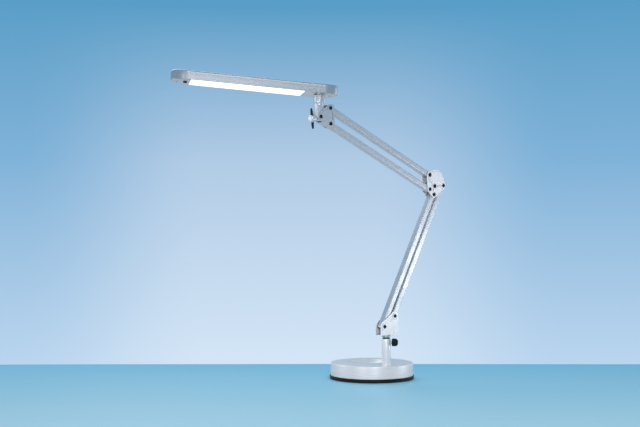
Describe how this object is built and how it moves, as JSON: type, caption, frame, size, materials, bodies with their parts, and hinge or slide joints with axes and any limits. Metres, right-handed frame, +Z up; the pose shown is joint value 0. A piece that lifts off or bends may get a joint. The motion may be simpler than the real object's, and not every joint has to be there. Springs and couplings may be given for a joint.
{
  "type": "counterweight balance desk lamp",
  "caption": "Balanced-arm desk lamp: round weighted base with dish, swivel post, two parallelogram arms and a long rounded light head with a side-to-side swivel.",
  "frame": {"origin": "centre of the round base's underside, on the surface that it stands on", "axes": "+Z up; the arm folds in a plane parallel to XZ and reaches towards -X; -Y is the side that shows the pivot screws' heads"},
  "size_m": [0.6888, 0.2186, 0.6887],
  "materials": {
    "silver_paint": "satin",
    "head_silver": "satin",
    "brushed_cover": "fine circular brushing",
    "brushed_post": "fine brushing along its length",
    "polished_steel": "polished",
    "dark_steel": "black oxide",
    "plain_steel": "zinc plated",
    "cast_weight": "rough cast",
    "black_plastic": "matte",
    "bush_nylon": "matte",
    "white_nylon": "matte",
    "pad_rubber": "matte",
    "diffuser_white": "opal, lit",
    "reflector_white": "white",
    "board_green": "white solder mask",
    "chip_yellow": "gloss",
    "spring_steel": "bright drawn"
  },
  "bodies": {
    "base": {"base_pad": "pad_rubber", "base_pan": "black_plastic", "base_weight": "cast_weight", "base_cover": "brushed_cover", "pan_screws": "plain_steel", "cord_gland": "black_plastic", "post": "brushed_post", "post_nut": "plain_steel", "post_bush": "bush_nylon"},
    "clamp_knob": {"clamp_knob": "black_plastic", "clamp_screw": "polished_steel"},
    "foot": {"swivel_spigot": "plain_steel", "thrust_washer": "plain_steel", "spigot_nut": "plain_steel", "foot_bracket": "silver_paint", "foot_pivot_screws": "dark_steel", "foot_pivot_nuts": "plain_steel", "foot_spring_pin": "plain_steel"},
    "lower_bar": {"lower_front_bar": "silver_paint", "lower_front_bushes": "white_nylon"},
    "lower_link": {"lower_rear_bar": "silver_paint", "lower_rear_bushes": "white_nylon", "lower_spring": "spring_steel", "lower_spring_pin": "plain_steel"},
    "elbow": {"elbow_plate_front": "silver_paint", "elbow_plate_rear": "silver_paint", "elbow_tie": "plain_steel", "elbow_screws": "dark_steel", "elbow_nuts": "plain_steel"},
    "upper_bar": {"upper_bottom_bar": "silver_paint", "upper_bottom_bushes": "white_nylon", "upper_spring": "spring_steel", "upper_spring_pin": "plain_steel"},
    "upper_link": {"upper_top_bar": "silver_paint", "upper_top_bushes": "white_nylon"},
    "head_bracket": {"head_plate_front": "silver_paint", "head_plate_rear": "silver_paint", "nod_bush": "white_nylon", "head_plate_screws": "dark_steel", "head_plate_nuts": "plain_steel"},
    "knuckle": {"knuckle": "polished_steel", "grub_screw": "dark_steel"},
    "wing_knob": {"wing_screw": "plain_steel", "wing_hub": "polished_steel", "wing_blades": "black_plastic"},
    "head": {"head_stem": "polished_steel", "stem_nut": "plain_steel", "lamp_base": "head_silver", "lamp_shell": "head_silver", "lamp_screws": "plain_steel", "diffuser": "diffuser_white", "reflector": "reflector_white", "led_board": "board_green", "led_chips": "chip_yellow", "switch_body": "black_plastic", "button_spring": "spring_steel"},
    "push_button": {"push_button": "black_plastic"}
  },
  "joints": [
    {"name": "foot_swivel", "type": "hinge", "parent": "base", "child": "foot", "pos_m": [-0.02417, -0.071, 0.108], "axis": [0, 0, 1], "range_deg": [-170, 170]},
    {"name": "clamp_turn", "type": "hinge", "parent": "base", "child": "clamp_knob", "pos_m": [-0.02417, -0.071, 0.091], "axis": [0.5736, -0.8192, 0], "continuous": true},
    {"name": "lower_arm", "type": "hinge", "parent": "foot", "child": "lower_bar", "pos_m": [-0.03867, -0.071, 0.128], "axis": [0, 1, 0], "range_deg": [-79, 5]},
    {"name": "lower_parallel", "type": "hinge", "parent": "foot", "child": "lower_link", "pos_m": [-0.00447, -0.071, 0.1509], "axis": [0, 1, 0], "range_deg": [-79, 5], "deforming": ["lower_spring"]},
    {"name": "elbow_level", "type": "hinge", "parent": "lower_bar", "child": "elbow", "pos_m": [0.1308, -0.071, 0.43423], "axis": [0, 1, 0], "range_deg": [-5, 79]},
    {"name": "upper_arm", "type": "hinge", "parent": "elbow", "child": "upper_bar", "pos_m": [0.1168, -0.071, 0.44694], "axis": [0, 1, 0], "range_deg": [-32, 35], "deforming": ["upper_spring"]},
    {"name": "upper_parallel", "type": "hinge", "parent": "elbow", "child": "upper_link", "pos_m": [0.1158, -0.071, 0.48144], "axis": [0, 1, 0], "range_deg": [-32, 35]},
    {"name": "head_level", "type": "hinge", "parent": "upper_bar", "child": "head_bracket", "pos_m": [-0.20632, -0.071, 0.58144], "axis": [0, 1, 0], "range_deg": [-35, 32]},
    {"name": "head_nod", "type": "hinge", "parent": "head_bracket", "child": "knuckle", "pos_m": [-0.23582, -0.071, 0.59504], "axis": [0, 1, 0], "range_deg": [-45, 12]},
    {"name": "wing_turn", "type": "hinge", "parent": "knuckle", "child": "wing_knob", "pos_m": [-0.23582, -0.071, 0.59504], "axis": [-0.9632, 0, -0.2689], "continuous": true},
    {"name": "head_swivel", "type": "hinge", "parent": "knuckle", "child": "head", "pos_m": [-0.23582, -0.071, 0.59504], "axis": [0.0837, 0, 0.9965], "range_deg": [-59, 120]},
    {"name": "button_press", "type": "slide", "parent": "head", "child": "push_button", "axis": [0.0837, 0, 0.9965], "range_m": [0, 0.0015], "stiffness_N_per_m": 400, "springref_m": -0.0005, "deforming": ["button_spring"]}
  ],
  "couplings": [
    {"joint": "lower_parallel", "follows": "lower_arm", "ratio": 1},
    {"joint": "elbow_level", "follows": "lower_arm", "ratio": -1},
    {"joint": "upper_parallel", "follows": "upper_arm", "ratio": 1},
    {"joint": "head_level", "follows": "upper_arm", "ratio": -1}
  ]
}
